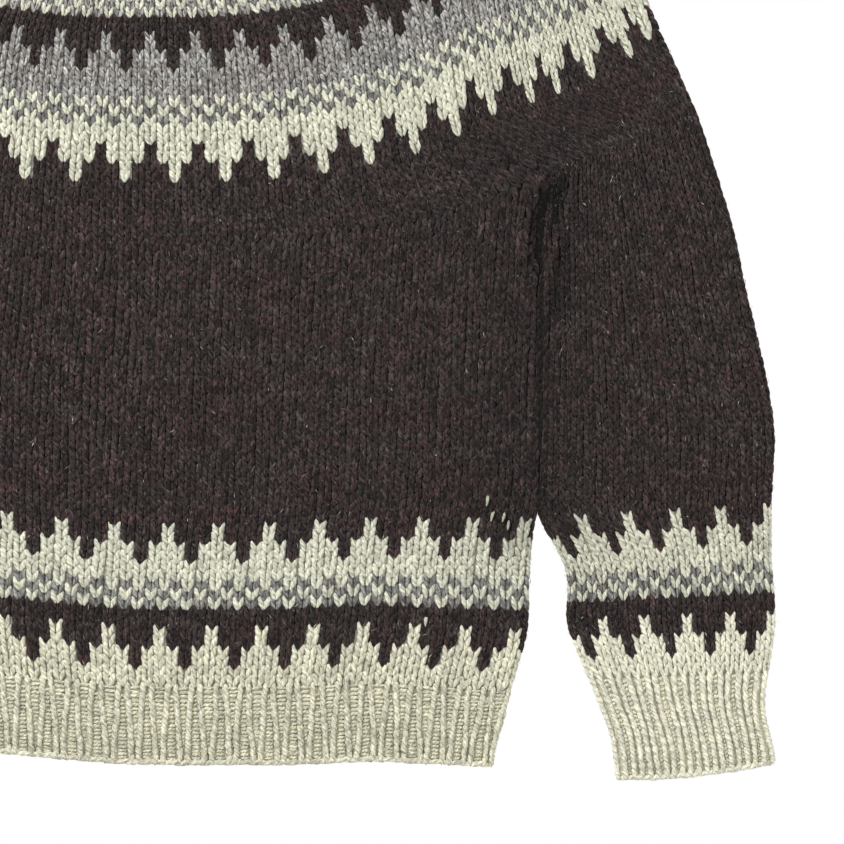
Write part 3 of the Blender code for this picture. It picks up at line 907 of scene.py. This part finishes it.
sleeveCloths = {}
sleeveLast = sleeve["rows"][-1][0]
sleeveRows = np.append(np.arange(sleeveLast), sleeveLast + cloth["lap"])
for sideName in ("Left", "Right"):
    sleeveName = "sleeve" + sideName
    tube = tubes[sleeveName]
    columns, levels = allCells(sleeve["stitches"], sleeveLast)
    columns, levels = columns + tube["offset"], levels.astype(float)
    codes = sleeveCodes(columns, levels)
    inFront = splitFront(tube, columns)
    for part, mask, lobe in (("Front", inFront, fullLobe), ("Back", ~inFront, plainLobe)):
        legs = layLegs(tube, *chosen(mask, columns, levels, codes), stitchShapes["knit"])
        piece = makeStitches(f"{sleeveName}Stitches{part}", legs, lobe, yarnWool)
        stitchPieces.setdefault(sleeveName, []).append(piece)
    stitchPieces[sleeveName].append(makeFuzz(sleeveName + "Fuzz", tube, sleeve, sleeveCodes))
    sleeveCloths[sideName] = makeShell(sleeveName + "Cloth", tube, sleeve["stitches"], sleeveRows,
                                       sleeveCodes, groundWool)
say("sleeves done")


# Yoke: one round piece over body and sleeves, in three counts of stitches
yokeStarts = (0, *yoke["narrows"][:2])


def yokeCodes(column, row):
    # column counted as on the widest round
    codes = np.empty(column.shape, int)
    for chart, first, count in zip((yokeChart, upperChart, neckChart), yokeStarts, yoke["stitches"]):
        stitch = np.round(column * count / yoke["stitches"][0]).astype(int)
        here = row >= first
        codes[here] = chartYarn(chart, stitch[here], np.floor(row[here] + 0.01).astype(int), first)
    return codes


yokeBands = {"Lower": [], "Upper": [], "Back": []}
for number, (first, last, count) in enumerate(zip(yokeStarts, yoke["narrows"], yoke["stitches"])):
    tube = tubes[f"yoke{number}"]
    columns, levels = allCells(count, last - first)
    columns, levels = columns.astype(float), levels + float(first)
    codes = yokeCodes(columns * yoke["stitches"][0] / count, levels)
    inFront = splitFront(tube, columns)
    isUpper = levels >= yoke["upperFrom"]
    for part, mask in (("Lower", inFront & ~isUpper), ("Upper", inFront & isUpper), ("Back", ~inFront)):
        if mask.any():
            yokeBands[part] += layLegs(tube, *chosen(mask, columns, levels, codes), stitchShapes["knit"])
for part, legs in yokeBands.items():
    lobe = plainLobe if part == "Back" else fullLobe
    piece = makeStitches("yokeStitches" + part, legs, lobe, yarnWool)
    stitchPieces.setdefault("yoke", []).append(piece)
yokeRows = np.arange(yoke["rows"][-1][0] + 1.0)
yokeCloth = makeShell("yokeCloth", tubes["yoke0"], yoke["stitches"][0], yokeRows, yokeCodes, groundWool)
stitchPieces["yoke"].append(makeFuzz("yokeFuzz", tubes["yoke0"], yoke, yokeCodes))
say("yoke done")


# Ribs: raised columns of knit stitches, sunken ones of purl between them, and a firm edge
def makeRib(name, stitches, knitParity, letter, edgeRow, shape):
    tube = tubes[name]
    rows = tube["last"]
    code = yarnLetters.index(letter)
    columns, levels = allCells(stitches, rows)
    knit = columns % 2 == knitParity
    columns, levels = columns.astype(float), levels.astype(float)
    inFront = splitFront(tube, columns)
    pieces = []
    frontLobe = plainLobe if name == "neck" else fullLobe
    for part, mask, lobe in (("Front", inFront, frontLobe), ("Back", ~inFront, plainLobe)):
        across, along = chosen(mask & knit, columns, levels)
        legs = layLegs(tube, across, along, np.full(len(across), code), shape, edgeRow)
        purlAcross, purlAlong = chosen(mask & ~knit, columns, levels)
        power, depth = shape["sinks"]
        sunken = np.clip(1.1 - np.abs(purlAlong - edgeRow) / (rows - 1), 0, 1) ** power
        span = bars["purlSpan"] - bars["sunkenSpan"] * sunken
        lift = bars["purlLift"] - depth * sunken
        low = np.abs(along - edgeRow) < shape["openRows"]
        for above in bars["places"]:
            codes = np.full(len(purlAcross), code)
            legs += layBars(tube, purlAcross, purlAlong + above, span, lift, bars["purlWidth"], codes)
            codes = np.full(low.sum(), code)
            legs += layBars(tube, across[low], along[low] + above, bars["openSpan"], bars["openLift"],
                            bars["openWidth"], codes)
        ends, endRows = chosen(mask & (levels == 0), columns, levels)
        codes = np.full(len(ends), code)
        inward = bars["inward"] if edgeRow == 0 else -bars["inward"]
        legs += layBars(tube, ends, endRows + edgeRow + inward, bars["edgeSpan"], bars["edgeLift"],
                        bars["edgeWidth"], codes, bars["edgeSlope"])
        pieces.append(makeStitches(f"{name}Stitches{part}", legs, lobe, yarnWool))

    def ribCodes(column, row):
        return np.full(column.shape, code)
    shell = makeShell(name + "Cloth", tube, stitches, np.arange(rows + 1.0), ribCodes, groundWool,
                      cloth["ribShellSunk"], cloth["ribShellPaintedShade"])
    return shell, pieces


cuffShape = stitchShapes["cuff"]
hemCloth, hemPieces = makeRib("hem", body["stitches"], 1, "h", 0, stitchShapes["hem"])
cuffLeftCloth, cuffLeftPieces = makeRib("cuffLeft", sleeve["stitches"], 1, "k", 0, cuffShape)
cuffRightCloth, cuffRightPieces = makeRib("cuffRight", sleeve["stitches"], 1, "k", 0, cuffShape)
neckCloth, neckPieces = makeRib("neck", yoke["stitches"][3], 0, "c", tubes["neck"]["last"], cuffShape)
say("ribs done")

for lobe in (fullLobe, plainLobe, hairLobe):
    bpy.data.objects.remove(lobe)

# What each cloth shell stands for, and its cut all round the tube
declared = [
    (hemCloth, "hem_rib", "wool_cream", hemPieces, (0.83, 0.046), None),
    (bodyCloth, "body", "wool_dark", stitchPieces["body"], (0.93, 0.28), None),
    (cuffLeftCloth, "cuff_left", "wool_cream", cuffLeftPieces, (0.21, 0.055), None),
    (sleeveCloths["Left"], "sleeve_left", "wool_dark", stitchPieces["sleeveLeft"], (0.26, 0.31), None),
    (cuffRightCloth, "cuff_right", "wool_cream", cuffRightPieces, (0.21, 0.055), None),
    (sleeveCloths["Right"], "sleeve_right", "wool_dark", stitchPieces["sleeveRight"], (0.26, 0.31), None),
    (yokeCloth, "yoke", "wool_yoke", stitchPieces["yoke"], (1.32, 0.26), 0.26),
    (neckCloth, "neckband", "wool_cream", neckPieces, (0.5, 0.03), None),
]
for shell, node, slot, pieces, flat, area in declared:
    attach(shell, "root")
    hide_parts(node)
say("cloth declared")

# Stage: a plain white ground, as in a cut-out
floorMaterial = bpy.data.materials.new("whitePaper")  # lit evenly, as for a cut-out
floorMaterial.use_nodes = True
floorShader = floorMaterial.node_tree.nodes["Principled BSDF"]
floorShader.inputs["Base Color"].default_value = (0, 0, 0, 1)
floorShader.inputs["Emission Color"].default_value = (1, 1, 1, 1)
floorShader.inputs["Emission Strength"].default_value = 1.0
floorShader.inputs["Specular IOR Level"].default_value = 0.0
floorMesh = bpy.data.meshes.new("floor")
floorMesh.from_pydata([(-3, -3, -mm), (3, -3, -mm), (3, 3, -mm), (-3, 3, -mm)], [], [(0, 1, 2, 3)])
floorMesh.materials.append(floorMaterial)
floor = addObject("floor", floorMesh)

world = bpy.data.worlds.new("softRoom")
world.use_nodes = True
world.node_tree.nodes["Background"].inputs["Color"].default_value = (1, 1, 1, 1)
world.node_tree.nodes["Background"].inputs["Strength"].default_value = 0.38
bpy.context.scene.world = world

lights = [  # place, aimed at the garment's middle, size, watts
    ("key", (-1.3, 1.4, 1.7), 1.0, 50),
    ("fill", (1.6, -0.9, 1.8), 1.6, 16),
]
for name, place, size, watts in lights:
    light = bpy.data.lights.new(name, "AREA")
    light.size = size
    light.energy = watts
    lamp = addObject(name, light)
    lamp.location = place
    direction = -np.array(place)
    yaw = math.atan2(direction[1], direction[0])
    lamp.rotation_euler = (math.atan2(np.hypot(*direction[:2]), -direction[2]), 0, yaw - math.pi / 2)

view = {"width": 0.4937, "middle": (0.1591, -0.0965), "distance": 2.2, "sensor": 36}
lens = bpy.data.cameras.new("camera")
lens.sensor_width = view["sensor"]
lens.lens = view["sensor"] * view["distance"] / view["width"]
camera = addObject("camera", lens)
camera.location = (*view["middle"], view["distance"] + flatHeight * mm)
bpy.context.scene.camera = camera
bpy.context.scene.view_settings.view_transform = "Standard"
say("stage, lights and camera done")
